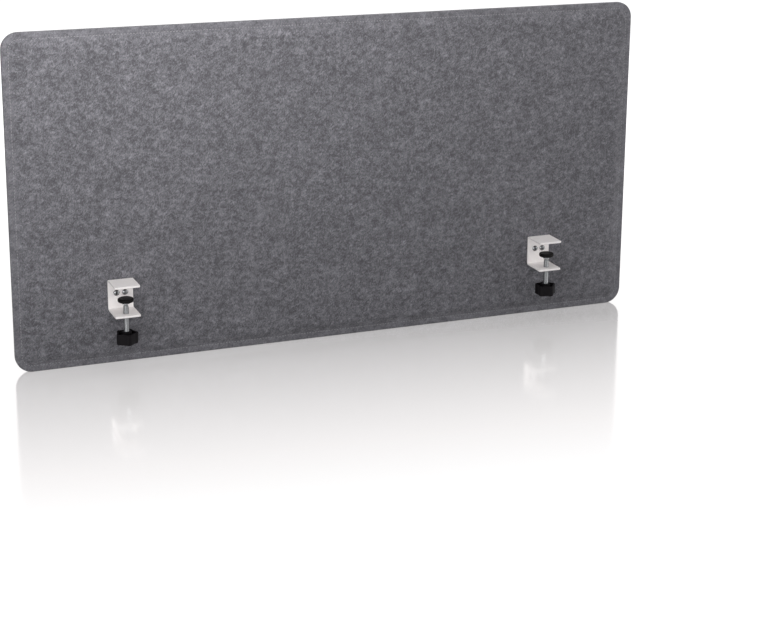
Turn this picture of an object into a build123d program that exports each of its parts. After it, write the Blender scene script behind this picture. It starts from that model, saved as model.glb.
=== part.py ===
from build123d import *
import os
from math import cos, pi, sin, sqrt

# Acoustic screen for the edge of a desk: a sewn felt panel carried by two C-clamps.
# X runs along the panel, Y from the desk side to the far side, Z up. The origin lies on the desk's top
# surface, where the desk's edge meets the clamps' back plates, midway between the two clamps.
# All sizes are in millimetres and all angles in degrees.

# Felt panel: two moulded shells, sewn together round the rim
panel_width = 1200.0
panel_height = 600.0
drop_below_desk = 153.0
corner_radius = 30.0
least_corner = 2.0
shell_wall = 5.0
rim_wall = 4.0
rim_width = 10.0
rim_edge_radius = 1.5
bevel_width = 12.0
shoulder_radius = 15.0
seam_groove_radius = 1.2

# Core: a board frame filled with absorber, in the shells' pockets
core_thickness = 10.0
core_fit = 0.3
rail_width = 50.0
rail_above_bracket = 20.0
frame_opening_corner = 15.0
batt_fit = 0.5

# Bracket: one bent steel strip
steel = 3.5
bracket_width = 45.0
throat_height = 50.0
flange_reach = 52.0
bend_radius = 2.0
flange_corner = 2.5
edge_round = 0.6
clamp_inset = 188.0

# Fixing screws and the nut plates inside the panel
screw_diameter = 6.0
screw_length = 16.0
screw_head_diameter = 10.5
screw_head_height = 3.3
screw_crown = 2.3
screw_socket = 4.0
screw_socket_depth = 2.2
screw_spacing = 15.5
screw_drop = 21.6
screw_clearance = 0.3
thread_clearance = 0.05
nut_plate_length = 44.0
nut_plate_height = 20.0
nut_plate_thickness = 2.5
nut_plate_corner = 3.0
nut_neck_diameter = 9.0
nut_neck_length = 5.0
nut_fit = 0.3

# Swivelling pad: a rubber cap over a steel disc that is crimped on the spindle's ball
clamp_gap = 22.0
pad_diameter = 28.0
pad_height = 7.0
pad_edge_radius = 2.5
pad_top_wall = 2.5
pad_side_wall = 3.0
pad_lip = 1.0
pad_lip_reach = 2.0
pad_fit = 0.1
disc_boss_diameter = 13.0
ball_cover = 1.1
socket_clearance = 0.05
socket_grip = 2.75

# Spindle
spindle_to_plate = 34.5
spindle_diameter = 10.0
ball_diameter = 8.0
spindle_neck_diameter = 4.8
spindle_neck_length = 2.6
spindle_chamfer = 1.0
spindle_free_length = 53.0

# Star knob, hollow on the spindle's side, and the insert in its hub
lobes = 5
knob_diameter = 40.0
knob_height = 20.0
lobe_radius = 5.5
flute_depth = 1.2
knob_wall = 2.5
knob_floor = 4.0
knob_foot_radius = 2.0
knob_rim_radius = 0.8
hub_diameter = 18.0
hub_rise = 2.5
hub_chamfer = 0.8
rib_thickness = 1.8
rib_drop = 3.0
insert_flats = 13.0
insert_length = 13.0
insert_below_thread = 1.0
left_knob_turn = 2.0
right_knob_turn = 17.4

# Overrun of a cutting tool past the wall that it cuts
overrun = 1.0

# Planes of the panel, from the desk side to the far side
panel_thickness = core_thickness + 2 * shell_wall
face_y = steel
middle_y = face_y + panel_thickness / 2
core_front_y = face_y + shell_wall
core_back_y = core_front_y + core_thickness
panel_middle_z = panel_height / 2 - drop_below_desk
face_inset = rim_width + bevel_width

# Places of the clamps and of the levels down the spindle, at rest
clamp_x = panel_width / 2 - clamp_inset
pad_top_z = -clamp_gap
disc_radius = pad_diameter / 2 - pad_side_wall
disc_top_z = pad_top_z - pad_top_wall
disc_bottom_z = pad_top_z - pad_height + pad_lip
ball_radius = ball_diameter / 2
socket_radius = ball_radius + socket_clearance
ball_z = disc_top_z - ball_cover - socket_radius
boss_bottom_z = ball_z - socket_grip
hub_top_z = ball_z - spindle_free_length
knob_rim_z = hub_top_z - hub_rise
knob_bottom_z = knob_rim_z - knob_height
insert_bottom_z = hub_top_z - insert_length

os.makedirs("parts", exist_ok=True)


def upright(y, facing=-1, middle_z=0.0):
    """Vertical plane at depth y, with X to the right, facing the desk side (-1) or the far side (1)."""
    return Plane(origin=(0, y, middle_z), x_dir=(1, 0, 0), z_dir=(0, facing, 0))


def panel_outline(inset):
    """The panel's rounded rectangle, drawn in from its outline by inset."""
    corner = max(corner_radius - inset, least_corner)
    return RectangleRounded(panel_width - 2 * inset, panel_height - 2 * inset, corner)


def felt_shell(facing):
    """One moulded shell, built outwards from the panel's middle plane."""
    outward = Axis((0, 0, 0), (0, facing, 0))

    def layer(depth):
        return upright(middle_y + facing * depth, facing, panel_middle_z)

    with BuildPart() as shell:
        # Flat sewn rim
        with BuildSketch(layer(0)):
            panel_outline(0)
        extrude(amount=rim_wall)
        fillet(shell.faces().sort_by(outward)[-1].edges(), radius=rim_edge_radius)
        # Bevel from the seam up to the flat face, with a soft shoulder
        with BuildSketch(layer(rim_wall)):
            panel_outline(rim_width)
        with BuildSketch(layer(panel_thickness / 2)):
            panel_outline(face_inset)
        loft(ruled=True)
        fillet(shell.faces().sort_by(outward)[-1].edges(), radius=shoulder_radius)
        # Groove that the stitches pull in
        with BuildSketch(layer(rim_wall), mode=Mode.PRIVATE) as seam:
            panel_outline(rim_width)
        seam_path = seam.sketch.face().outer_wire()
        with BuildSketch(Plane(origin=seam_path @ 0, z_dir=seam_path % 0)):
            Circle(seam_groove_radius)
        sweep(path=seam_path, mode=Mode.SUBTRACT)
        # Pocket for half of the core
        with BuildSketch(layer(0)):
            panel_outline(face_inset)
        extrude(amount=core_thickness / 2, mode=Mode.SUBTRACT)
    return shell.part


# Front felt shell, on the desk side, with a hole for each fixing screw
with BuildPart() as front_felt_shell:
    add(felt_shell(-1))
    with BuildSketch(upright(face_y - overrun, 1)):
        with GridLocations(2 * clamp_x, 0, 2, 1), Locations((0, screw_drop)):
            with GridLocations(screw_spacing, 0, 2, 1):
                Circle(screw_diameter / 2 + screw_clearance)
    extrude(amount=shell_wall + 2 * overrun, mode=Mode.SUBTRACT)
front_felt_shell.part.label = "front_felt_shell"
export_step(front_felt_shell.part, "parts/front_felt_shell.step")

# Rear felt shell, on the far side
with BuildPart() as rear_felt_shell:
    add(felt_shell(1))
rear_felt_shell.part.label = "rear_felt_shell"
export_step(rear_felt_shell.part, "parts/rear_felt_shell.step")

# Opening of the core frame: three narrow rails and a deep bottom rail behind the brackets
opening_width = panel_width - 2 * (face_inset + rail_width)
opening_top_z = panel_height - drop_below_desk - face_inset - rail_width
opening_bottom_z = steel + rail_above_bracket
opening_height = opening_top_z - opening_bottom_z
opening_middle_z = (opening_top_z + opening_bottom_z) / 2
plate_rim_y = core_back_y - nut_plate_thickness

# Core frame, cut from board, with a pocket and two neck holes for each nut plate
with BuildPart() as core_frame:
    with BuildSketch(upright(core_front_y, 1, panel_middle_z)):
        panel_outline(face_inset + core_fit)
    extrude(amount=core_thickness)
    with BuildSketch(upright(core_front_y, 1, opening_middle_z)):
        RectangleRounded(opening_width, opening_height, frame_opening_corner)
    extrude(amount=core_thickness, mode=Mode.SUBTRACT)
    with BuildSketch(upright(core_back_y)):
        with GridLocations(2 * clamp_x, 0, 2, 1), Locations((0, -screw_drop)):
            RectangleRounded(
                nut_plate_length + 2 * nut_fit,
                nut_plate_height + 2 * nut_fit,
                nut_plate_corner + nut_fit,
            )
    extrude(amount=nut_plate_thickness, mode=Mode.SUBTRACT)
    with BuildSketch(upright(core_back_y)):
        with GridLocations(2 * clamp_x, 0, 2, 1), Locations((0, -screw_drop)):
            with GridLocations(screw_spacing, 0, 2, 1):
                Circle(nut_neck_diameter / 2 + nut_fit)
    extrude(amount=core_thickness, mode=Mode.SUBTRACT)
core_frame.part.label = "core_frame"
export_step(core_frame.part, "parts/core_frame.step")

# Absorber batt, cut to fill the frame's opening
with BuildPart() as absorber_batt:
    with BuildSketch(upright(core_front_y, 1, opening_middle_z)):
        RectangleRounded(
            opening_width - 2 * batt_fit,
            opening_height - 2 * batt_fit,
            frame_opening_corner,
        )
    extrude(amount=core_thickness)
absorber_batt.part.label = "absorber_batt"
export_step(absorber_batt.part, "parts/absorber_batt.step")

# One fixing screw: a button head with a hexagonal socket. Its axis runs along Y at the origin, with the
# head's underside at y = 0
head_radius = screw_head_diameter / 2
head_edge_y = screw_crown - screw_head_height
crown_radius = (head_radius**2 + screw_crown**2) / (2 * screw_crown)
with BuildPart() as fixing_screw:
    with BuildSketch(Plane.XY):
        with BuildLine():
            Polyline(
                (0, -screw_head_height),
                (0, screw_length),
                (screw_diameter / 2, screw_length),
                (screw_diameter / 2, 0),
                (head_radius, 0),
                (head_radius, head_edge_y),
            )
            RadiusArc((head_radius, head_edge_y), (0, -screw_head_height), crown_radius)
        make_face()
    revolve(axis=Axis.Y)
    with BuildSketch(upright(-screw_head_height)):
        RegularPolygon(screw_socket / 2, side_count=6, major_radius=False)
    extrude(amount=-screw_socket_depth, mode=Mode.SUBTRACT)

# Outline of the star knob: lobes joined by shallow flutes, each arc tangent to the next
lobe_circle = knob_diameter / 2 - lobe_radius
half_pitch = pi / lobes
half_chord = lobe_circle * sin(half_pitch)
flute_rise = lobe_radius - flute_depth
flute_radius = (half_chord**2 + flute_rise**2 - lobe_radius**2) / (2 * flute_depth)
flute_bottom = lobe_circle * cos(half_pitch) + flute_rise
flute_circle = flute_bottom + flute_radius


def polar_point(radius, angle):
    """Point at a radius and an angle in radians from the sketch's X axis."""
    return Vector(radius * cos(angle), radius * sin(angle))


def star_outline():
    """Face inside the knob's outline, with one lobe on the sketch's X axis."""
    with BuildSketch(mode=Mode.PRIVATE) as star:
        with BuildLine():
            for lobe in range(lobes):
                middle = 2 * half_pitch * lobe
                before = polar_point(flute_circle, middle - half_pitch)
                after = polar_point(flute_circle, middle + half_pitch)
                centre = polar_point(lobe_circle, middle)
                start = centre + (before - centre).normalized() * lobe_radius
                end = centre + (after - centre).normalized() * lobe_radius
                next_centre = polar_point(lobe_circle, middle + 2 * half_pitch)
                next_start = next_centre + (after - next_centre).normalized() * lobe_radius
                ThreePointArc(start, polar_point(lobe_circle + lobe_radius, middle), end)
                ThreePointArc(end, polar_point(flute_bottom, middle + half_pitch), next_start)
        make_face()
    return star.sketch


for side, place_x, knob_turn in (
    ("left", -clamp_x, left_knob_turn),
    ("right", clamp_x, right_knob_turn),
):
    spindle_axis = Axis((place_x, -spindle_to_plate, 0), (0, 0, 1))
    profile_plane = Plane(origin=(place_x, -spindle_to_plate, 0), x_dir=(1, 0, 0), z_dir=(0, -1, 0))

    def level(z, turn=0.0):
        """Horizontal plane on the spindle's axis at height z, its X axis turned from the desk side."""
        plane = Plane(origin=(place_x, -spindle_to_plate, z), x_dir=(0, -1, 0), z_dir=(0, 0, 1))
        return plane.rotated((0, 0, turn))

    # Bracket: a bent strip with rounded bends, two screw holes and a tapped hole for the spindle
    with BuildPart() as bracket:
        with BuildSketch(Plane.YZ.offset(place_x - bracket_width / 2)):
            with Locations((-flange_reach, -throat_height - steel)):
                Rectangle(
                    flange_reach + steel, throat_height + 2 * steel, align=(Align.MIN, Align.MIN)
                )
            with Locations((-flange_reach, -throat_height)):
                Rectangle(flange_reach, throat_height, align=(Align.MIN, Align.MIN), mode=Mode.SUBTRACT)
        extrude(amount=bracket_width)
        long_edges = bracket.edges().filter_by(Axis.X)
        back_edges = long_edges.group_by(Axis.Y)
        fillet(back_edges[-1], radius=bend_radius + steel)
        inner_edges = bracket.edges().filter_by(Axis.X).filter_by_position(Axis.Y, -edge_round, edge_round)
        fillet(inner_edges, radius=bend_radius)
        fillet(bracket.edges().filter_by(Axis.Z).group_by(Axis.Y)[0], radius=flange_corner)
        fillet(bracket.edges(), radius=edge_round)
        with BuildSketch(upright(-overrun, 1)):
            with Locations((place_x, screw_drop)), GridLocations(screw_spacing, 0, 2, 1):
                Circle(screw_diameter / 2 + screw_clearance)
        extrude(amount=steel + 2 * overrun, mode=Mode.SUBTRACT)
        with BuildSketch(level(-throat_height + overrun)):
            Circle(spindle_diameter / 2 + thread_clearance)
        extrude(amount=-steel - 2 * overrun, mode=Mode.SUBTRACT)
    bracket.part.label = f"{side}_bracket"
    export_step(bracket.part, f"parts/{side}_bracket.step")

    # Two fixing screws through the back plate
    with BuildPart() as fixing_screws:
        with Locations((place_x, 0, -screw_drop)), GridLocations(screw_spacing, 0, 2, 1):
            add(fixing_screw.part)
    fixing_screws.part.label = f"{side}_fixing_screws"
    export_step(fixing_screws.part, f"parts/{side}_fixing_screws.step")

    # Nut plate, let into the back of the frame, with two threaded necks
    with BuildPart() as nut_plate:
        with BuildSketch(upright(core_back_y)):
            with Locations((place_x, -screw_drop)):
                RectangleRounded(nut_plate_length, nut_plate_height, nut_plate_corner)
        extrude(amount=nut_plate_thickness)
        with BuildSketch(upright(plate_rim_y)):
            with Locations((place_x, -screw_drop)), GridLocations(screw_spacing, 0, 2, 1):
                Circle(nut_neck_diameter / 2)
        extrude(amount=nut_neck_length)
        with BuildSketch(upright(core_back_y)):
            with Locations((place_x, -screw_drop)), GridLocations(screw_spacing, 0, 2, 1):
                Circle(screw_diameter / 2 + thread_clearance)
        extrude(amount=nut_plate_thickness + nut_neck_length, mode=Mode.SUBTRACT)
    nut_plate.part.label = f"{side}_nut_plate"
    export_step(nut_plate.part, f"parts/{side}_nut_plate.step")

    # Pad cap: black rubber, rounded all round, with a lip that holds it under the disc
    pad_bottom_z = pad_top_z - pad_height
    cap_radius = pad_diameter / 2
    cap_corner = cap_radius - pad_edge_radius
    cap_bore = disc_radius + pad_fit
    lip_radius = disc_radius - pad_lip_reach
    with BuildPart() as pad_cap:
        with BuildSketch(profile_plane):
            with BuildLine():
                Polyline((0, disc_top_z), (0, pad_top_z), (cap_corner, pad_top_z))
                RadiusArc(
                    (cap_corner, pad_top_z), (cap_radius, pad_top_z - pad_edge_radius), pad_edge_radius
                )
                Line(
                    (cap_radius, pad_top_z - pad_edge_radius),
                    (cap_radius, pad_bottom_z + pad_edge_radius),
                )
                RadiusArc(
                    (cap_radius, pad_bottom_z + pad_edge_radius), (cap_corner, pad_bottom_z), pad_edge_radius
                )
                Polyline(
                    (cap_corner, pad_bottom_z),
                    (lip_radius, pad_bottom_z),
                    (lip_radius, disc_bottom_z),
                    (cap_bore, disc_bottom_z),
                    (cap_bore, disc_top_z),
                    (0, disc_top_z),
                )
            make_face()
        revolve(axis=spindle_axis)
    pad_cap.part.label = f"{side}_pad_cap"
    export_step(pad_cap.part, f"parts/{side}_pad_cap.step")

    # Pad disc: steel, with a boss crimped round the ball
    mouth_radius = sqrt(socket_radius**2 - socket_grip**2)
    with BuildPart() as pad_disc:
        with BuildSketch(profile_plane):
            with BuildLine():
                Polyline(
                    (0, ball_z + socket_radius),
                    (0, disc_top_z),
                    (disc_radius, disc_top_z),
                    (disc_radius, disc_bottom_z),
                    (disc_boss_diameter / 2, disc_bottom_z),
                    (disc_boss_diameter / 2, boss_bottom_z),
                    (mouth_radius, boss_bottom_z),
                )
                ThreePointArc(
                    (mouth_radius, boss_bottom_z), (socket_radius, ball_z), (0, ball_z + socket_radius)
                )
            make_face()
        revolve(axis=spindle_axis)
    pad_disc.part.label = f"{side}_pad_disc"
    export_step(pad_disc.part, f"parts/{side}_pad_disc.step")

    # Spindle: ball, neck and threaded shank
    neck_radius = spindle_neck_diameter / 2
    shank_radius = spindle_diameter / 2
    neck_top_z = ball_z - sqrt(ball_radius**2 - neck_radius**2)
    shank_top_z = neck_top_z - spindle_neck_length
    spindle_end_z = insert_bottom_z + insert_below_thread
    with BuildPart() as spindle:
        with BuildSketch(profile_plane):
            with BuildLine():
                ThreePointArc((0, ball_z + ball_radius), (ball_radius, ball_z), (neck_radius, neck_top_z))
                Polyline(
                    (neck_radius, neck_top_z),
                    (neck_radius, shank_top_z),
                    (shank_radius - spindle_chamfer, shank_top_z),
                    (shank_radius, shank_top_z - spindle_chamfer),
                    (shank_radius, spindle_end_z + spindle_chamfer),
                    (shank_radius - spindle_chamfer, spindle_end_z),
                    (0, spindle_end_z),
                    (0, ball_z + ball_radius),
                )
            make_face()
        revolve(axis=spindle_axis)
    spindle.part.label = f"{side}_spindle"
    export_step(spindle.part, f"parts/{side}_spindle.step")

    # Star knob: lobed wall, floor, hub on ribs, and a hexagonal pocket for the insert
    with BuildPart() as knob:
        with BuildSketch(level(knob_bottom_z, knob_turn)):
            add(star_outline())
        extrude(amount=knob_height)
        fillet(knob.faces().sort_by(Axis.Z)[0].edges(), radius=knob_foot_radius)
        with BuildSketch(level(knob_bottom_z + knob_floor, knob_turn)):
            add(star_outline())
            offset(amount=-knob_wall)
        extrude(amount=knob_height - knob_floor, mode=Mode.SUBTRACT)
        fillet(knob.faces().sort_by(Axis.Z)[-1].edges(), radius=knob_rim_radius)
        with BuildSketch(level(knob_bottom_z + knob_floor, knob_turn)):
            with PolarLocations(0, lobes, start_angle=0):
                Rectangle(lobe_circle, rib_thickness, align=(Align.MIN, Align.CENTER))
        extrude(amount=knob_height - knob_floor - rib_drop)
        with BuildSketch(level(knob_bottom_z + knob_floor)):
            Circle(hub_diameter / 2)
        extrude(amount=knob_height - knob_floor + hub_rise)
        chamfer(knob.faces().sort_by(Axis.Z)[-1].edges(), length=hub_chamfer)
        with BuildSketch(level(hub_top_z, knob_turn)):
            RegularPolygon(insert_flats / 2, side_count=6, major_radius=False)
        extrude(amount=-insert_length, mode=Mode.SUBTRACT)
    knob.part.label = f"{side}_knob"
    export_step(knob.part, f"parts/{side}_knob.step")

    # Knob insert: a threaded hexagon in the hub
    with BuildPart() as knob_insert:
        with BuildSketch(level(hub_top_z, knob_turn)):
            RegularPolygon(insert_flats / 2, side_count=6, major_radius=False)
            Circle(spindle_diameter / 2 + thread_clearance, mode=Mode.SUBTRACT)
        extrude(amount=-insert_length)
    knob_insert.part.label = f"{side}_knob_insert"
    export_step(knob_insert.part, f"parts/{side}_knob_insert.step")
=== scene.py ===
from math import asin, cos, pi, radians, sin, sqrt

import bmesh
import bpy
import numpy as np
from mathutils import Matrix, Vector


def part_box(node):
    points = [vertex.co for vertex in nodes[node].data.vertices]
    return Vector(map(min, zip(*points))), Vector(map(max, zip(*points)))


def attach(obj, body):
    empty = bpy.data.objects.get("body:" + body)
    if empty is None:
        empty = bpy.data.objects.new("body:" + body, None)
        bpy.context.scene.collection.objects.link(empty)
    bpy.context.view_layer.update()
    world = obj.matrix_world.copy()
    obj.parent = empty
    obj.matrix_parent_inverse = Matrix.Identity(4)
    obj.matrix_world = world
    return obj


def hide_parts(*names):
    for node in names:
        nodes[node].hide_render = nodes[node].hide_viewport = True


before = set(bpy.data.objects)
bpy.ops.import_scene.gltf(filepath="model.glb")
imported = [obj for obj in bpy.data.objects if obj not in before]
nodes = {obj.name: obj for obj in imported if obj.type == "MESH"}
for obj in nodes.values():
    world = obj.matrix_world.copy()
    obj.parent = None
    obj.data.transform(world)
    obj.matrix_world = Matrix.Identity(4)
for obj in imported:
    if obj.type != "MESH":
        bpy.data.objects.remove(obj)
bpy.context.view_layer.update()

# Desk screen of grey felt on two white clamps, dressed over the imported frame.
# Lengths are in metres, in the frame's axes: X along the panel, Y away from the desk, Z up.
# Angles are in radians, apart from the lamps' spreads, which are in degrees.
mm = 0.001
sides = ("left", "right")

# Felt panel: sewn rim, groove of the seam and padded bevel
corner_radius = 30 * mm
rim_half_thickness = 5 * mm
rim_edge_radius = 1.5 * mm
rim_plumpness = 0.12 * mm
parting_radius = 0.5 * mm
seam_inset = 11.5 * mm
shoulder_inset = 28.5 * mm
bevel_round_share = 0.35
bevel_round_power = 1.7
groove_depth = 0.05 * mm
groove_half_width = 1.8 * mm
groove_spread_share = 0.62
pucker = 0.3 * mm
pucker_spread_share = 1.3

# Felt panel: swell of the filled faces, with low waves in radians per metre
face_crown = 0.4 * mm
wave_height = 0.1 * mm
long_wave_x = 31
long_wave_z = 27
long_wave_shift = 0.8
bend_wave_z = 17
bend_depth = 1.3
short_wave_x = 53
short_wave_z = 41
short_wave_shift = 2.0
short_wave_share = 0.6

# Felt panel: how far in from the clamps' plates and from the seam the felt is pressed
plate_press_reach = 14 * mm
seam_press_reach = 11 * mm

# Felt panel: places of its rings of vertices
parting_turn_shares = (0.15, 0.5, 1.0)
rim_wall_shares = (0.33, 0.66)
rim_edge_turn_shares = (0.0, 0.25, 0.5, 0.75, 1.0)
rim_face_insets = (2.6 * mm, 4.0 * mm, 5.4 * mm)
groove_shares = (-1.7, -1.25, -0.85, -0.5, -0.2, 0.0, 0.2, 0.5, 0.85, 1.25, 1.7, 2.3)
bevel_shares = (0.3, 0.42, 0.55, 0.68, 0.8, 0.92)

# Seam: lockstitches of thick thread
stitches_along = 211
stitches_up = 100
stitches_round_corner = 6
steps_per_stitch = 4
thread_radius = 0.45 * mm
stitch_gap = 2.2 * mm
stitch_rise = 0.18 * mm
stitch_sink = 0.8 * mm
stitch_arch_power = 4
stitch_segments = 8
thread_sides = 6

# Spindles: metric thread, neck and ball
thread_pitch = 1.5 * mm
thread_depth = 0.86 * mm
crest_share = 0.14
flanks_share = 0.72
flank_hollow_share = 0.06
pitch_shares = (0.0, 0.07, 0.2, 0.35, 0.5, 0.65, 0.8, 0.93)
thread_steps = 36
turns_below = 2
spare_turns = 3
end_chamfer = 1.0 * mm
ball_radius = 4 * mm
ball_rings = 12
neck_radius = 2.4 * mm
neck_length = 2.6 * mm
neck_overlap = 0.1 * mm
cut_tolerance = 0.01 * mm

# Places read from the frame
front_low, front_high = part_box("front_felt_shell")
middle_y = front_high.y
half_thickness = middle_y - front_low.y
floor_z = front_low.z


# Small helpers for meshes and materials


def new_piece(name, mesh, material, body):
    """Adds a smooth mesh object with its material, riding on a body."""
    mesh.polygons.foreach_set("use_smooth", [True] * len(mesh.polygons))
    mesh.materials.append(material)
    piece = bpy.data.objects.new(name, mesh)
    bpy.context.scene.collection.objects.link(piece)
    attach(piece, body)
    return piece


def new_mesh(name, vertices, faces):
    """Makes a mesh of vertices and faces."""
    mesh = bpy.data.meshes.new(name)
    mesh.from_pydata(vertices, [], faces)
    mesh.validate()
    return mesh


class Shader:
    """A material's node tree, with one Principled shader and short calls for adding nodes."""

    def __init__(self, name):
        self.material = bpy.data.materials.new(name)
        self.material.use_nodes = True
        self.tree = self.material.node_tree
        self.surface = self.tree.nodes["Principled BSDF"]
        self.place = self.add("ShaderNodeTexCoord").outputs["Object"]

    def add(self, kind, **settings):
        """Adds a node, and sets the sockets and properties that the settings name."""
        node = self.tree.nodes.new(kind)
        for key, value in settings.items():
            self.put(node, key, value)
        return node

    def put(self, node, key, value):
        """Links or fills one socket of a node, or sets one of its properties."""
        if isinstance(key, str) and key not in node.inputs:
            setattr(node, key, value)
        elif isinstance(value, bpy.types.NodeSocket):
            self.tree.links.new(value, node.inputs[key])
        else:
            node.inputs[key].default_value = value

    def fill(self, sockets):
        """Sets sockets of the Principled shader from a dict."""
        for key, value in sockets.items():
            self.put(self.surface, key, value)

    def noise(self, scale, detail=2.0, roughness=0.5, distortion=0.0, place=None):
        """Noise from 0 to 1, with its scale in waves per metre, or per streak where place has streaks."""
        node = self.add(
            "ShaderNodeTexNoise",
            Vector=place or self.place,
            Scale=scale,
            Detail=detail,
            Roughness=roughness,
            Distortion=distortion,
        )
        return node.outputs["Fac"]

    def streaks(self, sizes, turn=0.0, place=None):
        """Coordinates for streaks of these sizes along X, Y and Z, turned about Y."""
        node = self.add("ShaderNodeMapping", vector_type="TEXTURE", Vector=place or self.place)
        self.put(node, "Scale", sizes)
        self.put(node, "Rotation", (0.0, turn, 0.0))
        return node.outputs["Vector"]

    def math(self, operation, first, second=0.0, clamp=False):
        """One operation on two values."""
        node = self.add("ShaderNodeMath", operation=operation, use_clamp=clamp)
        self.put(node, 0, first)
        self.put(node, 1, second)
        return node.outputs["Value"]

    def total(self, parts, offset=0.0):
        """Adds up values, each times its weight, and an offset."""
        for value, weight in parts:
            node = self.add("ShaderNodeMath", operation="MULTIPLY_ADD")
            for socket, number in enumerate((value, weight, offset)):
                self.put(node, socket, number)
            offset = node.outputs["Value"]
        return offset

    def spread(self, value, low, high, to_low=0.0, to_high=1.0):
        """Maps low..high of a value to to_low..to_high, and clamps it there."""
        node = self.add("ShaderNodeMapRange", interpolation_type="SMOOTHSTEP", Value=value)
        ends = {"From Min": low, "From Max": high, "To Min": to_low, "To Max": to_high}
        for key, size in ends.items():
            self.put(node, key, size)
        return node.outputs["Result"]

    def blend(self, share, first, second):
        """Mixes two colours by share, on the node's inputs and output for colours."""
        node = self.add("ShaderNodeMix", data_type="RGBA")
        for socket, value in ((0, share), (6, first), (7, second)):
            self.put(node, socket, value)
        return node.outputs[2]

    def cover(self, share, under, over):
        """Mixes two shaders by share."""
        node = self.add("ShaderNodeMixShader")
        for socket, value in enumerate((share, under, over)):
            self.put(node, socket, value)
        return node.outputs[0]

    def bump(self, height, distance, strength=1.0, under=None):
        """Normals bent by a height, over those of another bump where one is given."""
        node = self.add("ShaderNodeBump", Height=height, Distance=distance, Strength=strength)
        if under is not None:
            self.put(node, "Normal", under)
        return node.outputs["Normal"]


def grey(level, warmth=0.0):
    """A linear grey, a little red for positive warmth and a little blue for negative warmth."""
    return (level * (1 + warmth), level, level * (1 - warmth), 1.0)


# Materials

# Felt: each layer's grains, as their sizes along X, Y and Z in millimetres, turn about Y and detail
felt_layers = {
    "patches": ((24.0, 22.0, 18.0), -0.6, 2.0),
    "tufts": ((11.5, 10.0, 9.0), 0.2, 3.0),
    "locks": ((7.0, 2.8, 2.1), -0.5, 2.0),
    "strands": ((6.5, 2.4, 1.7), 0.7, 2.0),
    "fibres": ((3.8, 1.8, 1.7), -1.2, 1.5),
    "flecks": ((2.8, 2.0, 1.5), 0.2, 2.0),
}

# Felt: the layers' weights, and the level and contrast of the pattern that they add up to
felt_weights = {
    "patches": 0.55,
    "tufts": 1.15,
    "locks": 0.75,
    "strands": 0.5,
    "fibres": 1.4,
    "clouds": 0.2,
    "flecks": 0.4,
}
felt_level = -1.843
felt_contrast = 1.5
fleck_edges = (0.6, 0.74)
felt_dark = (0.0796, 0.078, 0.086, 1.0)
felt_light = (0.2742, 0.2692, 0.2968, 1.0)

# Felt: how much pressing fades its pattern and lifts its colour, where the lift is partly the lighter
# pressed felt and partly painted light that offsets the shade on the bevel, and how far and how often the
# grains sway
pressed_fade = 0.3
pressed_lift_and_painted_light = 0.215
sway_waves = 30.0
sway_reach = 12 * mm


def felt_material():
    """Pressed melange felt: light and dark tufts and locks that lie at all angles, with pale flecks.
    Its pattern is fainter and its colour lighter where the attribute "pressed" says that the felt is
    pressed hard; the lighter colour is partly painted light, which offsets the shade on the bevel near
    the seam."""
    felt = Shader("melange_felt")
    sway = felt.add("ShaderNodeTexNoise", Vector=felt.place, Scale=sway_waves, Detail=2.0)
    swirled = felt.add("ShaderNodeVectorMath", operation="MULTIPLY_ADD")
    for socket, value in enumerate((sway.outputs["Color"], (sway_reach,) * 3, felt.place)):
        felt.put(swirled, socket, value)

    layers = {}
    for name, (sizes, turn, detail) in felt_layers.items():
        grains = tuple(size * mm for size in sizes)
        streaks = felt.streaks(grains, turn, swirled.outputs["Vector"])
        layers[name] = felt.noise(1.0, detail, roughness=0.6, place=streaks)
    layers["flecks"] = felt.spread(layers["flecks"], *fleck_edges)
    layers["clouds"] = felt.noise(15, detail=3.0, roughness=0.6, distortion=0.8)

    share = felt.total([(layers[name], weight) for name, weight in felt_weights.items()], felt_level)
    pressed = felt.add("ShaderNodeAttribute", attribute_name="pressed").outputs["Fac"]
    patterned = felt.math("MULTIPLY", share, pressed)
    # Lift of the pressed rim and of the bevel near the seam: partly the lighter pressed felt, partly
    # painted light that offsets the bevel's shade
    share = felt.total(((patterned, -pressed_fade), (pressed, pressed_lift_and_painted_light)), share)
    share = felt.math("POWER", felt.math("MAXIMUM", share, 0.0), felt_contrast)
    matting = felt.bump(layers["locks"], 0.5 * mm, strength=0.5)
    felt.fill(
        {
            "Base Color": felt.blend(share, felt_dark, felt_light),
            "Roughness": 0.95,
            "Specular IOR Level": 0.12,
            "Sheen Weight": 0.12,
            "Sheen Roughness": 0.6,
            "Normal": felt.bump(layers["fibres"], 0.15 * mm, strength=0.5, under=matting),
        }
    )
    return felt.material


def thread_material():
    """Polyester sewing thread, twisted, a shade lighter than the felt."""
    thread = Shader("sewing_thread")
    twist = thread.noise(2600, distortion=0.5)
    dark, light = (0.222, 0.217, 0.229, 1.0), (0.354, 0.347, 0.364, 1.0)
    thread.fill(
        {
            "Base Color": thread.blend(twist, dark, light),
            "Roughness": 0.6,
            "Normal": thread.bump(twist, 0.1 * mm, strength=0.6),
        }
    )
    return thread.material


def coat_material():
    """Off-white powder coat: satin, with a fine orange peel."""
    coat = Shader("powder_coat")
    peel = coat.noise(520, detail=3.0, roughness=0.55)
    grain = coat.noise(2600)
    tint = coat.noise(60)
    dark, light = (0.93, 0.89, 0.88, 1.0), (0.97, 0.93, 0.92, 1.0)
    coat.fill(
        {
            "Base Color": coat.blend(tint, dark, light),
            "Roughness": coat.spread(grain, 0.3, 0.7, to_low=0.36, to_high=0.5),
            "Normal": coat.bump(peel, 0.12 * mm, strength=0.35),
        }
    )
    return coat.material


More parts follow.
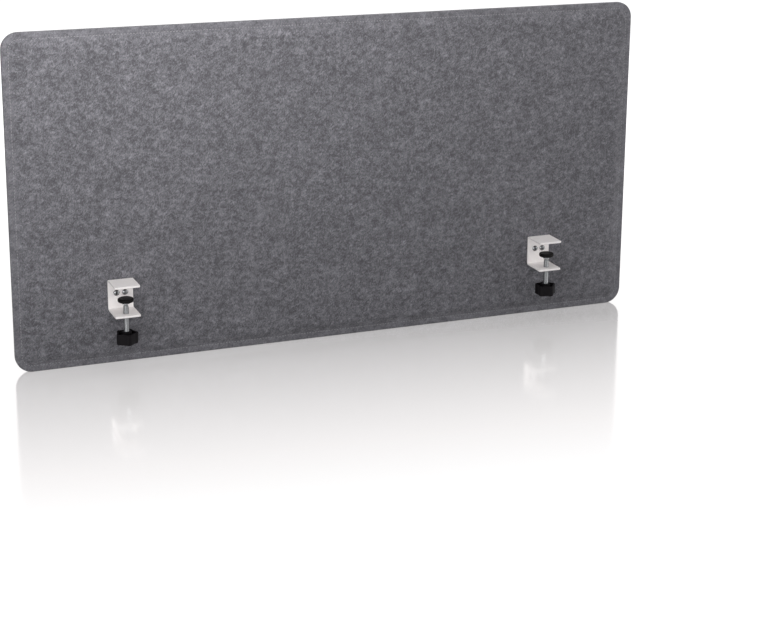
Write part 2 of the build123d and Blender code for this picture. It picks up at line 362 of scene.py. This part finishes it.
def zinc_material(name, tone, smoothest, roughest):
    """Bright zinc plate, with clouds of passivation and a little variation in its gloss."""
    zinc = Shader(name)
    clouds = zinc.noise(160, detail=3.0, roughness=0.6, distortion=0.8)
    grain = zinc.noise(2200, roughness=0.6)
    zinc.fill(
        {
            "Base Color": zinc.blend(clouds, grey(tone, warmth=-0.03), grey(tone * 1.12, warmth=-0.01)),
            "Metallic": 1.0,
            "Roughness": zinc.spread(grain, 0.25, 0.75, to_low=smoothest, to_high=roughest),
            "Normal": zinc.bump(grain, 0.02 * mm, strength=0.4),
        }
    )
    return zinc.material


def plastic_material():
    """Black glass-filled plastic with the fine grain of a spark-eroded mould."""
    plastic = Shader("moulded_plastic")
    grain = plastic.noise(2400, roughness=0.65)
    flow = plastic.noise(90, distortion=1.0)
    dark, light = (0.0045, 0.0039, 0.0046, 1.0), (0.0085, 0.0073, 0.0087, 1.0)
    plastic.fill(
        {
            "Base Color": plastic.blend(flow, dark, light),
            "Roughness": plastic.spread(flow, 0.3, 0.7, to_low=0.45, to_high=0.55),
            "Specular IOR Level": 0.07,
            "Normal": plastic.bump(grain, 0.05 * mm, strength=0.45),
        }
    )
    return plastic.material


def rubber_material():
    """Black rubber with a smooth moulded skin."""
    rubber = Shader("moulded_rubber")
    bloom = rubber.noise(140, detail=3.0, roughness=0.6)
    skin = rubber.noise(1500)
    dark, light = (0.0032, 0.0028, 0.0029, 1.0), (0.0056, 0.005, 0.0052, 1.0)
    rubber.fill(
        {
            "Base Color": rubber.blend(bloom, dark, light),
            "Roughness": rubber.spread(bloom, 0.3, 0.7, to_low=0.4, to_high=0.55),
            "Specular IOR Level": 0.08,
            "Normal": rubber.bump(skin, 0.03 * mm, strength=0.4),
        }
    )
    return rubber.material


def blackened_material():
    """Turned steel with a black oxide, of the knobs' inserts."""
    steel = Shader("blackened_steel")
    turned = steel.streaks((8 * mm, 8 * mm, 0.2 * mm))
    marks = steel.noise(1.0, detail=3.0, roughness=0.6, place=turned)
    steel.fill(
        {
            "Base Color": steel.blend(marks, grey(0.035, warmth=-0.03), grey(0.075, warmth=-0.03)),
            "Metallic": 1.0,
            "Roughness": steel.spread(marks, 0.3, 0.7, to_low=0.3, to_high=0.45),
            "Normal": steel.bump(marks, 0.03 * mm, strength=0.4),
        }
    )
    return steel.material


def board_material():
    """Raw fibreboard of the hidden frame."""
    board = Shader("fibreboard")
    flattened = board.streaks((1.1 * mm, 1.1 * mm, 0.7 * mm))
    fibres = board.noise(1.0, detail=4.0, roughness=0.65, distortion=0.5, place=flattened)
    dark, light = (0.3, 0.2, 0.12, 1.0), (0.5, 0.36, 0.23, 1.0)
    board.fill(
        {
            "Base Color": board.blend(fibres, dark, light),
            "Roughness": 0.9,
            "Normal": board.bump(fibres, 0.1 * mm, strength=0.4),
        }
    )
    return board.material


def batt_material():
    """Pale polyester batt inside the frame."""
    batt = Shader("polyester_batt")
    fluff = batt.noise(220, detail=4.0, roughness=0.7, distortion=2.0)
    batt.fill(
        {
            "Base Color": batt.blend(fluff, grey(0.55), grey(0.78)),
            "Roughness": 0.95,
            "Normal": batt.bump(fluff, 0.6 * mm, strength=0.6),
        }
    )
    return batt.material


felt = felt_material()
thread = thread_material()
rod_zinc = zinc_material("zinc_rod", tone=0.35, smoothest=0.25, roughest=0.35)
screw_zinc = zinc_material("zinc_screws", tone=0.17, smoothest=0.14, roughest=0.24)

side_finishes = {
    "bracket": coat_material(),
    "fixing_screws": screw_zinc,
    "nut_plate": screw_zinc,
    "pad_cap": rubber_material(),
    "pad_disc": screw_zinc,
    "knob": plastic_material(),
    "knob_insert": blackened_material(),
}
finishes = {"core_frame": board_material(), "absorber_batt": batt_material()}
for side in sides:
    finishes.update({f"{side}_{piece}": material for piece, material in side_finishes.items()})
for node, material in finishes.items():
    for slot in nodes[node].material_slots:
        slot.material = material


# Felt shells

straight_x = front_high.x - corner_radius
low_z = front_low.z + corner_radius
high_z = front_high.z - corner_radius


def seam_stations():
    """Stations round the panel, steps_per_stitch to a stitch: the point that each one's column
    runs in to, and its inward direction, both in X and Z."""
    corners = (
        (straight_x, low_z),
        (straight_x, high_z),
        (-straight_x, high_z),
        (-straight_x, low_z),
    )
    ends, inward = [], []
    start = np.array(corners[-1])
    for quarter, corner in enumerate(corners):
        corner = np.array(corner)
        stitches = stitches_along if quarter % 2 == 0 else stitches_up
        first = pi / 2 + quarter * pi / 2
        for step in range(stitches * steps_per_stitch):
            ends.append(start + (corner - start) * step / (stitches * steps_per_stitch))
            inward.append((cos(first), sin(first)))
        for step in range(stitches_round_corner * steps_per_stitch):
            angle = first + pi / 2 * step / (stitches_round_corner * steps_per_stitch)
            ends.append(corner)
            inward.append((cos(angle), sin(angle)))
        start = corner
    return np.array(ends), np.array(inward)


station_ends, station_inward = seam_stations()
station_count = len(station_ends)
stitch_phase = (np.arange(station_count) % steps_per_stitch) / steps_per_stitch


def smooth_step(value):
    """A smooth rise from 0 to 1 as the value goes from 0 to 1."""
    value = np.clip(value, 0.0, 1.0)
    return value * value * (3 - 2 * value)


def face_swell(x, z, facing):
    """How far the filled face stands proud of the CAD's flat face, less where a clamp's plate
    presses on it. Facing is -1 on the desk side and 1 on the far side."""
    bend = bend_depth * np.sin(z * bend_wave_z)
    long_waves = np.sin(x * long_wave_x + bend) * np.cos(z * long_wave_z + long_wave_shift * facing)
    short_waves = np.sin(x * short_wave_x - z * short_wave_z + short_wave_shift * facing)
    swell = face_crown + wave_height * (long_waves + short_wave_share * short_waves)
    if facing < 0:
        for side in sides:
            low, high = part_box(f"{side}_bracket")
            away_x = np.maximum(0, np.maximum(low.x - x, x - high.x))
            away_z = np.maximum(0, np.maximum(low.z - z, z - high.z))
            swell = swell * smooth_step(np.hypot(away_x, away_z) / plate_press_reach)
    return swell


def bevel_height(inset):
    """Height over the panel's middle plane of the rim and of the padded bevel inside its seam."""
    rise = np.clip((inset - seam_inset) / (shoulder_inset - seam_inset), 0.0, 1.0)
    rounded = 1 - (1 - rise) ** bevel_round_power
    shape = bevel_round_share * rounded + (1 - bevel_round_share) * smooth_step(rise)
    plump = rim_plumpness * np.sin(pi * np.clip(inset / seam_inset, 0.0, 1.0))
    return rim_half_thickness + plump + (half_thickness - rim_half_thickness) * shape


def rim_rings():
    """(inset, height) of the sewn rim's rings, from the parting line in towards the seam."""
    rings = []
    for turn in parting_turn_shares:
        angle = turn * pi / 2
        rings.append((parting_radius * (1 - sin(angle)), parting_radius * (1 - cos(angle))))
    wall = rim_half_thickness - rim_edge_radius - parting_radius
    for share in rim_wall_shares:
        rings.append((0.0, parting_radius + share * wall))
    for turn in rim_edge_turn_shares:
        angle = turn * pi / 2
        inset = rim_edge_radius * (1 - cos(angle))
        rings.append((inset, rim_half_thickness - rim_edge_radius * (1 - sin(angle))))
    for inset in rim_face_insets:
        rings.append((inset, float(bevel_height(inset))))
    return rings


def seam_rings():
    """(inset, height, share of the pucker) of the fine rings across the seam's groove."""
    rings = []
    for share in groove_shares:
        inset = seam_inset + share * groove_half_width
        dip = groove_depth * np.exp(-((share / groove_spread_share) ** 2))
        puckered = float(np.exp(-((share / pucker_spread_share) ** 2)))
        rings.append((inset, float(bevel_height(inset) - dip), puckered))
    return rings


def border_of_grid(cell, columns, rows):
    """The grid's vertices round its border, one for each stitch, in the rings' order."""
    right, top = columns - 1, rows - 1
    border = [cell(i, 0) for i in range(right)]
    border += [cell(right, 0)] * stitches_round_corner
    border += [cell(right, i) for i in range(top)]
    border += [cell(right, top)] * stitches_round_corner
    border += [cell(right - i, top) for i in range(right)]
    border += [cell(0, top)] * stitches_round_corner
    border += [cell(0, top - i) for i in range(top)]
    border += [cell(0, 0)] * stitches_round_corner
    return border


def felt_shell(name, node, facing):
    """One felt shell over its CAD node: rim, puckered seam, padded bevel and a face swollen by its
    filling."""
    points, faces, rings, pressed = [], [], [], []

    def add_ring(inset, height, step, puckered=0.0):
        """A ring of vertices at one inset, on every step-th station."""
        chosen = np.arange(0, station_count, step)
        places = station_ends[chosen] - station_inward[chosen] * (corner_radius - inset)
        pull = (0.5 + 0.5 * np.cos(2 * pi * stitch_phase[chosen])) ** 2
        filled = smooth_step((inset - seam_inset) / (corner_radius - seam_inset))
        swell = filled * face_swell(places[:, 0], places[:, 1], facing)
        heights = height - puckered * pucker * pull + swell
        rings.append((len(points), len(chosen)))
        points.extend((x, middle_y + facing * h, z) for (x, z), h in zip(places, heights))
        # How pressed the felt is here; the felt material lightens it by this, partly as painted light
        press = 1.0 - float(smooth_step((inset - seam_inset) / seam_press_reach))
        pressed.extend([press] * len(chosen))

    def add_face(*corners):
        """A face that looks outwards on either shell."""
        faces.append(corners if facing < 0 else corners[::-1])

    half_stitch = steps_per_stitch // 2
    for inset, height in rim_rings():
        add_ring(inset, height, half_stitch)
    for inset, height, puckered in seam_rings():
        add_ring(inset, height, 1, puckered)
    for share in bevel_shares:
        inset = seam_inset + share * (corner_radius - seam_inset)
        add_ring(inset, float(bevel_height(inset)), half_stitch)

    # Bands between neighbouring rings, of which one can have more vertices than the other
    for (outer, outer_count), (inner, inner_count) in zip(rings, rings[1:]):
        count = min(outer_count, inner_count)
        outer_step, inner_step = outer_count // count, inner_count // count
        for i in range(count):
            ahead = (i + 1) % count
            outer_edge = [outer + i * outer_step + k for k in range(outer_step)]
            outer_edge.append(outer + ahead * outer_step)
            inner_edge = [inner + i * inner_step + k for k in range(inner_step)]
            inner_edge.append(inner + ahead * inner_step)
            add_face(*outer_edge, *reversed(inner_edge))

    # Flat face: a grid between the corners' centres, one cell to a stitch
    grid = len(points)
    columns, rows = stitches_along + 1, stitches_up + 1
    levels = np.linspace(low_z, high_z, rows)
    for x in np.linspace(-straight_x, straight_x, columns):
        heights = half_thickness + face_swell(x, levels, facing)
        points.extend((x, middle_y + facing * h, z) for z, h in zip(levels, heights))

    def cell(column, row):
        """The grid's vertex in a column and a row."""
        return grid + column * rows + row

    for column in range(columns - 1):
        right = column + 1
        for row in range(rows - 1):
            over = row + 1
            add_face(cell(column, row), cell(right, row), cell(right, over), cell(column, over))

    # Band between the last ring and the grid's border
    border = border_of_grid(cell, columns, rows)
    last, last_count = rings[-1]
    for i, here in enumerate(border):
        ahead = border[(i + 1) % len(border)]
        ring = [last + (2 * i + k) % last_count for k in range(3)]
        if here == ahead:
            add_face(ring[0], ring[1], here)
            add_face(ring[1], ring[2], here)
        else:
            add_face(*ring, ahead, here)

    piece = new_piece(name, new_mesh(name, points, faces), felt, "panel")
    pressed.extend([0.0] * (len(points) - len(pressed)))
    attribute = piece.data.attributes.new("pressed", "FLOAT", "POINT")
    attribute.data.foreach_set("value", pressed)
    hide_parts(node)


def station_at(at):
    """The end of a column and its inward direction at a place between two stations."""
    low, part = int(at), at - int(at)
    high = (low + 1) % station_count
    end = station_ends[low] * (1 - part) + station_ends[high] * part
    inward = station_inward[low] * (1 - part) + station_inward[high] * part
    return end, inward / np.hypot(*inward)


def stitch_spine(stitch, facing):
    """The middle line of one stitch, as points with their inward directions. It arches over the
    felt and sinks into it at both ends."""
    seam_height = float(bevel_height(seam_inset)) - groove_depth
    covered = 1 - stitch_gap / (2 * straight_x / stitches_along)
    spine = []
    for k in range(stitch_segments + 1):
        share = k / stitch_segments
        end, inward = station_at((stitch + 0.5 + (share - 0.5) * covered) * steps_per_stitch)
        place = end - inward * (corner_radius - seam_inset)
        arch = 1 - abs(2 * share - 1) ** stitch_arch_power
        height = seam_height - stitch_sink + (stitch_sink + stitch_rise) * arch
        spine.append((Vector((place[0], middle_y + facing * height, place[1])), inward))
    return spine


def seam_stitches(name, facing):
    """The thread that shows on one face: a short arched length for each stitch."""
    points, faces = [], []
    for stitch in range(station_count // steps_per_stitch):
        spine = stitch_spine(stitch, facing)
        first = len(points)
        for k, (centre, inward) in enumerate(spine):
            ahead = spine[min(k + 1, stitch_segments)][0] - spine[max(k - 1, 0)][0]
            across = Vector((inward[0], 0.0, inward[1]))
            up = ahead.cross(across).normalized()
            for side in range(thread_sides):
                angle = 2 * pi * side / thread_sides
                points.append(centre + thread_radius * (across * cos(angle) + up * sin(angle)))
        for k in range(stitch_segments):
            here = first + k * thread_sides
            there = here + thread_sides
            for side in range(thread_sides):
                beside = (side + 1) % thread_sides
                faces.append((here + side, here + beside, there + beside, there + side))
        last = first + stitch_segments * thread_sides
        faces.append(tuple(first + i for i in reversed(range(thread_sides))))
        faces.append(tuple(last + i for i in range(thread_sides)))
    piece = new_piece(name, new_mesh(name, points, faces), thread, "panel")


felt_shell("front_felt", "front_felt_shell", -1)
felt_shell("rear_felt", "rear_felt_shell", 1)
seam_stitches("front_stitches", -1)
seam_stitches("rear_stitches", 1)


# Threaded spindles


def thread_radius_at(share, shank_radius):
    """Radius of the rolled thread at a share of its pitch: flat crest and root, with slightly
    hollow flanks between them."""
    flank = np.clip((abs(2 * share - 1) - crest_share) / flanks_share, 0.0, 1.0)
    return shank_radius - thread_depth * (flank + flank_hollow_share * sin(pi * flank))


def add_vertex(body, axis, radius, step, z):
    """Adds a vertex round an upright axis, at one of the thread's steps to a turn."""
    angle = 2 * pi * step / thread_steps
    return body.verts.new((axis[0] + radius * cos(angle), axis[1] + radius * sin(angle), z))


def add_helix(body, axis, shank_radius, foot, top):
    """Threads a shank between two heights: makes its helix past both ends, and cuts it there."""
    rows = []
    for turn in range(int((top - foot) / thread_pitch) + spare_turns):
        for share in pitch_shares:
            threaded = thread_radius_at(share, shank_radius)
            row = []
            for step in range(thread_steps):
                climb = turn - turns_below + share + step / thread_steps
                z = foot + climb * thread_pitch
                tapered = shank_radius - end_chamfer + min(z - foot, top - z)
                radius = max(min(threaded, tapered), neck_radius / 2)
                row.append(add_vertex(body, axis, radius, step, z))
            rows.append(row)

    # Each row runs on into the row that lies one turn higher
    per_turn = len(pitch_shares)
    for r in range(len(rows) - 1):
        here, above = rows[r], rows[r + 1]
        for step in range(thread_steps - 1):
            body.faces.new((here[step], here[step + 1], above[step + 1], above[step]))
        if r + 1 + per_turn < len(rows):
            next_here, next_above = rows[r + per_turn], rows[r + 1 + per_turn]
            body.faces.new((here[-1], next_here[0], next_above[0], above[-1]))

    for height, direction in ((foot, 1), (top, -1)):
        bmesh.ops.bisect_plane(
            body,
            geom=body.verts[:] + body.edges[:] + body.faces[:],
            plane_co=(*axis, height),
            plane_no=(0, 0, direction),
            clear_inner=True,
        )
        rim = []
        for edge in body.edges:
            if edge.is_boundary and abs(edge.verts[0].co.z - height) < cut_tolerance:
                rim.append(edge)
        bmesh.ops.holes_fill(body, edges=rim, sides=0)


def add_ball_end(body, axis, shank_top, ball_z):
    """Adds the smooth neck over the shank and the ball on it, as one turned form."""
    profile = [(neck_radius, shank_top - neck_overlap), (neck_radius, shank_top + neck_length / 2)]
    start = -asin(sqrt(ball_radius**2 - neck_radius**2) / ball_radius)
    for k in range(ball_rings):
        angle = start + (pi / 2 - start) * k / ball_rings
        profile.append((ball_radius * cos(angle), ball_z + ball_radius * sin(angle)))
    rings = []
    for radius, z in profile:
        rings.append([add_vertex(body, axis, radius, step, z) for step in range(thread_steps)])
    pole = body.verts.new((*axis, ball_z + ball_radius))
    for under, over in zip(rings, rings[1:]):
        for step in range(thread_steps):
            ahead = (step + 1) % thread_steps
            body.faces.new((under[step], under[ahead], over[ahead], over[step]))
    for step in range(thread_steps):
        body.faces.new((rings[-1][step], rings[-1][(step + 1) % thread_steps], pole))
    body.faces.new(list(reversed(rings[0])))


def threaded_spindle(side):
    """Spindle with a real helix on its shank, under a smooth neck and ball."""
    low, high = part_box(f"{side}_spindle")
    axis = ((low.x + high.x) / 2, (low.y + high.y) / 2)
    ball_z = high.z - ball_radius
    shank_top = ball_z - sqrt(ball_radius**2 - neck_radius**2) - neck_length
    body = bmesh.new()
    add_helix(body, axis, (high.x - low.x) / 2, low.z, shank_top)
    add_ball_end(body, axis, shank_top, ball_z)
    bmesh.ops.recalc_face_normals(body, faces=body.faces[:])
    mesh = bpy.data.meshes.new(f"{side}_threaded_spindle")
    body.to_mesh(mesh)
    body.free()
    piece = new_piece(mesh.name, mesh, rod_zinc, f"{side}_screw")
    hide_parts(f"{side}_spindle")


for side in sides:
    threaded_spindle(side)


# Floor: pale, and a little glossy near the panel, so that it mirrors the panel's foot

floor_size = 16.0
bounce_level = 0.35
seen_level = 0.4

# Glow that makes the floor white where the camera sees it, more where less light falls on it
glow_near = 0.757
glow_far = 0.9
glow_near_reach = 0.6
glow_far_reach = 2.2

# Painted warmth of the glow near the panel, a painted tint over the panel's reflection, full where the
# mirror keeps over a quarter of its strength
painted_reflection_warmth = (1.028, 1.0, 0.996, 1.0)
painted_warmth_rise = 4.0

# Mirror: its share at the panel's foot and its reach, with how much each grows per metre along X
mirror_share = 0.573
mirror_share_rise = 0.06
mirror_reach = 0.78
mirror_reach_rise = 0.08
mirror_fade_power = 1.15
mirror_roughness = 0.1


def floor_material():
    """White for the camera, pale for the light that it throws back, and clear from below. Near the panel
    it mirrors the panel's foot, and has a little painted warmth there, which tints the reflection."""
    floor = Shader("studio_floor")
    rays = floor.add("ShaderNodeLightPath").outputs
    seen = floor.math("MAXIMUM", rays["Is Camera Ray"], rays["Is Glossy Ray"])
    place = floor.add("ShaderNodeSeparateXYZ", Vector=floor.place).outputs
    away = floor.math("ABSOLUTE", floor.math("SUBTRACT", place["Y"], middle_y))
    remaining = floor.total(((place["X"], mirror_reach_rise), (away, -1.0)), mirror_reach)
    remaining_share = floor.math("DIVIDE", remaining, mirror_reach, clamp=True)
    fade = floor.math("POWER", remaining_share, mirror_fade_power)
    # Share of the painted warmth that tints the reflection: full where the mirror keeps over a quarter of
    # its strength
    near = floor.math("MULTIPLY", fade, painted_warmth_rise, clamp=True)

    distance = floor.add("ShaderNodeVectorMath", operation="LENGTH")
    floor.put(distance, 0, floor.place)
    distance = distance.outputs["Value"]
    glow = floor.spread(distance, glow_near_reach, glow_far_reach, glow_near, glow_far)
    floor.fill(
        {
            "Base Color": floor.blend(seen, grey(bounce_level), grey(seen_level)),
            "Roughness": 1.0,
            "Specular IOR Level": 0.0,
            "Emission Color": floor.blend(near, grey(1.0), painted_reflection_warmth),
            "Emission Strength": floor.math("MULTIPLY", seen, glow),
        }
    )

    share = floor.total(((place["X"], mirror_share_rise),), mirror_share)
    share = floor.math("MULTIPLY", fade, floor.math("MULTIPLY", seen, share))
    gloss = floor.add("ShaderNodeBsdfAnisotropic", Color=grey(1.0), Roughness=mirror_roughness)
    mirrored = floor.cover(share, floor.surface.outputs[0], gloss.outputs[0])
    below = floor.add("ShaderNodeNewGeometry").outputs["Backfacing"]
    clear = floor.add("ShaderNodeBsdfTransparent").outputs[0]
    output = floor.tree.nodes["Material Output"]
    floor.put(output, "Surface", floor.cover(below, mirrored, clear))
    return floor.material


def add_floor():
    """A flat square under the panel."""
    half = floor_size / 2
    corners = ((-half, -half), (half, -half), (half, half), (-half, half))
    mesh = new_mesh("floor", [(x, y, floor_z) for x, y in corners], [(0, 1, 2, 3)])
    mesh.materials.append(floor_material())
    floor = bpy.data.objects.new("floor", mesh)
    bpy.context.scene.collection.objects.link(floor)


# Light

warm_white = (1.0, 0.995, 0.985)
cool_white = (0.99, 0.995, 1.0)
plain_white = (1.0, 1.0, 1.0)
fill_level = 0.48


def add_lamp(name, place, target, size, watts, tint=plain_white, spread=180):
    """A square area lamp that points at the target, with its spread in degrees."""
    lamp = bpy.data.lights.new(name, "AREA")
    lamp.shape = "SQUARE"
    lamp.size = size
    lamp.energy = watts
    lamp.spread = radians(spread)
    lamp.color = tint
    holder = bpy.data.objects.new(name, lamp)
    holder.location = place
    aim = Vector(target) - Vector(place)
    holder.rotation_euler = aim.to_track_quat("-Z", "Y").to_euler()
    bpy.context.scene.collection.objects.link(holder)


def add_world():
    """White where the camera or a mirror sees it, and a plain soft fill elsewhere."""
    world = bpy.data.worlds.new("studio")
    world.use_nodes = True
    tree = world.node_tree
    backdrop = tree.nodes["Background"]
    rays = tree.nodes.new("ShaderNodeLightPath").outputs
    seen = tree.nodes.new("ShaderNodeMath")
    seen.operation = "MAXIMUM"
    tree.links.new(rays["Is Camera Ray"], seen.inputs[0])
    tree.links.new(rays["Is Glossy Ray"], seen.inputs[1])
    level = tree.nodes.new("ShaderNodeMapRange")
    level.inputs["To Min"].default_value = fill_level
    level.inputs["To Max"].default_value = 1.0
    tree.links.new(seen.outputs[0], level.inputs["Value"])
    tree.links.new(level.outputs["Result"], backdrop.inputs["Strength"])
    backdrop.inputs["Color"].default_value = grey(1.0)
    bpy.context.scene.world = world


add_floor()
add_lamp(
    "key", place=(-0.5, -1.4, 0.9), target=(-0.5, 0.0, 1.3), size=0.5, watts=13.6,
    tint=warm_white, spread=110,
)
add_lamp(
    "fill", place=(-2.0, -2.0, 0.1), target=(-0.3, 0.0, 0.0), size=1.8, watts=26.0,
    tint=cool_white, spread=146,
)
add_lamp(
    "top", place=(0.2, -0.3, 2.4), target=(0.2, 0.0, 0.0), size=1.5, watts=7.5, spread=150
)
add_lamp(
    "right", place=(1.6, -0.6, 0.3), target=(0.5, 0.0, 0.3), size=1.2, watts=3.8, spread=120
)
add_lamp(
    "back", place=(1.0, 2.8, 1.5), target=(0.0, 0.0, 0.15), size=1.5, watts=45.0, tint=warm_white
)
add_world()


# Camera, at the photograph's place and angle

photo_width = 768
photo_height = 624
focal_pixels = 1866.14
principal_x = 430
principal_y = 240
camera_place = Vector((-1.17233, -3.10316, 0.95999))
camera_right = Vector((0.91798, -0.39637, 0.01464))
camera_down = Vector((-0.09345, -0.25201, -0.96320))
nearest_seen = 0.05
farthest_seen = 50


def add_camera():
    """The camera, shifted as the photograph was cropped."""
    camera = bpy.data.cameras.new("camera")
    camera.lens = focal_pixels / photo_width * camera.sensor_width
    camera.shift_x = (photo_width / 2 - principal_x) / photo_width
    camera.shift_y = (principal_y - photo_height / 2) / photo_width
    camera.clip_start = nearest_seen
    camera.clip_end = farthest_seen
    right = camera_right.normalized()
    up = (-camera_down - right * right.dot(-camera_down)).normalized()
    turn = Matrix((right, up, right.cross(up))).transposed().to_4x4()
    holder = bpy.data.objects.new("camera", camera)
    holder.matrix_world = Matrix.Translation(camera_place) @ turn
    bpy.context.scene.collection.objects.link(holder)
    bpy.context.scene.camera = holder


add_camera()
bpy.context.scene.view_settings.view_transform = "Standard"
